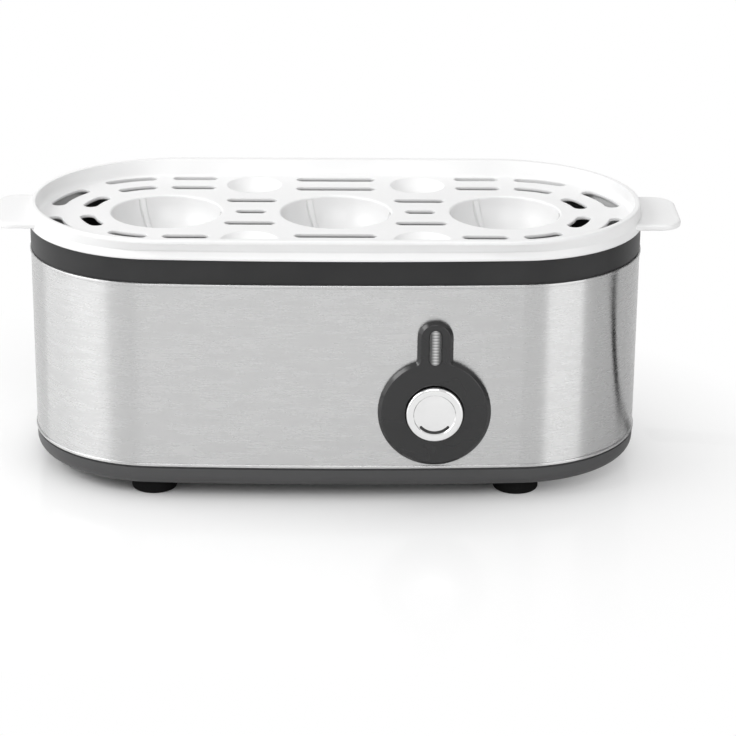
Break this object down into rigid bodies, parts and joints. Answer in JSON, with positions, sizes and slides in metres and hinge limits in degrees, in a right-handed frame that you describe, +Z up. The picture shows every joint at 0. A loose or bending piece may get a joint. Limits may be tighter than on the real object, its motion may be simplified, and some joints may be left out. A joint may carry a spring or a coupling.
{
  "type": "electric egg cooker",
  "caption": "Oblong electric egg cooker: white slotted egg tray with cups and tab handles, dark collar, brushed steel band, dark base, round push-button with a lamp window above.",
  "frame": {"origin": "on the floor under the middle of the body", "axes": "+X along the length towards the viewer's right, -Y out of the control side, +Z up"},
  "size_m": [0.2356, 0.1, 0.0934],
  "materials": {
    "white_gloss": "glossy",
    "dark_matte": "matte",
    "dark_satin": "satin",
    "brushed_band": "brushed",
    "black_rubber": "matte",
    "chrome": "polished",
    "clear_lens": "clear",
    "black_coating": "satin",
    "red_silicone": "matte",
    "zinc_steel": "zinc plated",
    "aluminium": "as cast",
    "element_steel": "heat toned",
    "white_ceramic": "matte",
    "tinned_brass": "satin",
    "fuse_metal": "satin",
    "black_nylon": "matte",
    "white_nylon": "matte",
    "spring_steel": "bright",
    "plated_steel": "zinc plated",
    "neon_glass": "clear",
    "brown_sleeve": "silicone",
    "white_sleeve": "silicone",
    "blue_sleeve": "silicone",
    "green_yellow_sleeve": "silicone"
  },
  "bodies": {
    "housing": {"base_tub": "dark_matte", "bezel_screws": "zinc_steel", "block_screws": "zinc_steel", "control_bezel": "dark_satin", "cord_bush": "black_rubber", "earth_tag": "tinned_brass", "earth_wire": "green_yellow_sleeve", "element_insulators": "white_ceramic", "element_pins": "element_steel", "element_wire": "white_sleeve", "fuse_clip": "zinc_steel", "fuse_screw": "zinc_steel", "fused_wire": "white_sleeve", "heater_plate": "aluminium", "heating_element": "element_steel", "housing_screws": "zinc_steel", "lamp_holder": "white_nylon", "lamp_leads": "white_sleeve", "lamp_lens": "clear_lens", "live_wire": "brown_sleeve", "neutral_wire": "blue_sleeve", "pan_gasket": "red_silicone", "pan_straps": "zinc_steel", "pan_studs": "zinc_steel", "power_lamp": "neon_glass", "return_spring": "spring_steel", "rubber_feet": "black_rubber", "steel_band": "brushed_band", "strap_nuts": "zinc_steel", "switch_blades": "tinned_brass", "switch_body": "black_nylon", "switch_bracket": "plated_steel", "switched_wire": "white_sleeve", "terminal_block": "white_nylon", "terminal_screws": "zinc_steel", "thermal_fuse": "fuse_metal", "thermostat": "aluminium", "thermostat_blades": "tinned_brass", "thermostat_screws": "zinc_steel", "upper_collar": "dark_matte", "water_pan": "black_coating"},
    "tray": {"egg_tray": "white_gloss"},
    "power_button": {"button_cap": "chrome", "button_carrier": "black_nylon", "button_mark": "black_nylon", "switch_plunger": "white_nylon"}
  },
  "joints": [
    {"name": "tray_lift", "type": "slide", "parent": "housing", "child": "tray", "axis": [0, 0, 1], "range_m": [0, 0.05]},
    {"name": "button_press", "type": "slide", "parent": "housing", "child": "power_button", "axis": [0, 1, 0], "range_m": [0, 0.0025], "stiffness_N_per_m": 400, "springref_m": -0.003, "deforming": ["return_spring"]}
  ]
}
